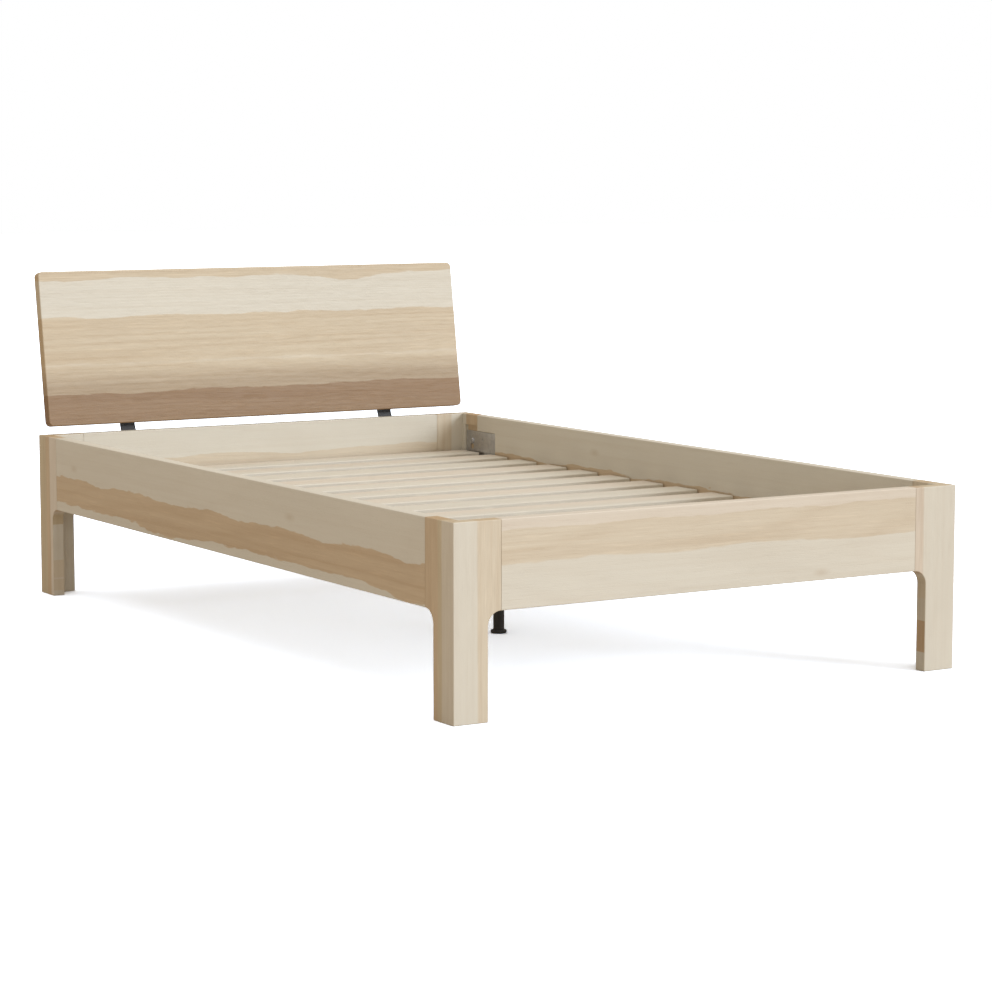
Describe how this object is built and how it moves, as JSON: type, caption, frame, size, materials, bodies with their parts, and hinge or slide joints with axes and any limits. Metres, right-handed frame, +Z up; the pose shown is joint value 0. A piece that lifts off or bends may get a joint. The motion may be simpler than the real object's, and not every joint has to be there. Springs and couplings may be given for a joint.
{
  "type": "bed frame",
  "caption": "Solid-wood bed frame with L-shaped corner legs, flush rails, a raked one-board headboard, a roll-out slatted base and an adjustable centre leg.",
  "frame": {"origin": "on the floor, under the middle of the whole bed, headboard included", "axes": "+X across the bed to the right as seen from the foot end, +Y from the foot end to the headboard, +Z up"},
  "size_m": [1.264, 2.1516, 0.8151],
  "materials": {
    "frame_wood": "matt oiled pale heartwood",
    "headboard_wood": "matt oiled pale heartwood",
    "slat_wood": "planed, untreated",
    "joint_wood": "planed, untreated",
    "black_steel": "black powder coat, satin",
    "zinc_steel": "zinc plated",
    "black_plastic": "matt moulded",
    "webbing": "plain woven polyester"
  },
  "bodies": {
    "bed": {"bracket_bolts": "black_steel", "bracket_screws": "black_steel", "centre_beam": "slat_wood", "centre_leg_clamp_boss": "black_steel", "centre_leg_outer_tube": "black_steel", "centre_leg_plate": "black_steel", "centre_leg_plate_screws": "zinc_steel", "centre_leg_top_cap": "black_plastic", "foot_beam_hanger": "zinc_steel", "foot_end_dowels": "joint_wood", "foot_rail": "frame_wood", "front_left_hook_plate": "zinc_steel", "front_left_leg_end_board": "frame_wood", "front_left_leg_side_board": "frame_wood", "front_right_hook_plate": "zinc_steel", "front_right_leg_end_board": "frame_wood", "front_right_leg_side_board": "frame_wood", "hanger_screws": "zinc_steel", "head_beam_hanger": "zinc_steel", "head_end_dowels": "joint_wood", "head_rail": "frame_wood", "headboard": "headboard_wood", "hook_bolts": "zinc_steel", "hook_plate_screws": "zinc_steel", "ledge_screws": "zinc_steel", "left_headboard_bracket": "black_steel", "left_ledge": "slat_wood", "left_rail": "frame_wood", "left_slat_ribbon": "webbing", "leg_mitre_splines": "joint_wood", "rear_left_hook_plate": "zinc_steel", "rear_left_leg_end_board": "frame_wood", "rear_left_leg_side_board": "frame_wood", "rear_right_hook_plate": "zinc_steel", "rear_right_leg_end_board": "frame_wood", "rear_right_leg_side_board": "frame_wood", "ribbon_staples": "zinc_steel", "right_headboard_bracket": "black_steel", "right_ledge": "slat_wood", "right_rail": "frame_wood", "right_slat_ribbon": "webbing", "slat_01": "slat_wood", "slat_02": "slat_wood", "slat_03": "slat_wood", "slat_04": "slat_wood", "slat_05": "slat_wood", "slat_06": "slat_wood", "slat_07": "slat_wood", "slat_08": "slat_wood", "slat_09": "slat_wood", "slat_10": "slat_wood", "slat_11": "slat_wood", "slat_12": "slat_wood", "slat_13": "slat_wood", "slat_14": "slat_wood", "slat_fixing_screws": "zinc_steel", "threaded_inserts": "zinc_steel"},
    "leg_extension": {"centre_leg_inner_tube": "black_steel", "centre_leg_foot": "black_plastic"},
    "clamp_screw": {"centre_leg_clamp_screw": "black_plastic"}
  },
  "joints": [
    {"name": "leg_height", "type": "slide", "parent": "bed", "child": "leg_extension", "axis": [0, 0, 1], "range_m": [-0.06, 0]},
    {"name": "clamp_turn", "type": "hinge", "parent": "bed", "child": "clamp_screw", "pos_m": [0.034, -0.15184, 0.1], "axis": [0, 1, 0], "range_deg": [0, 720]}
  ]
}
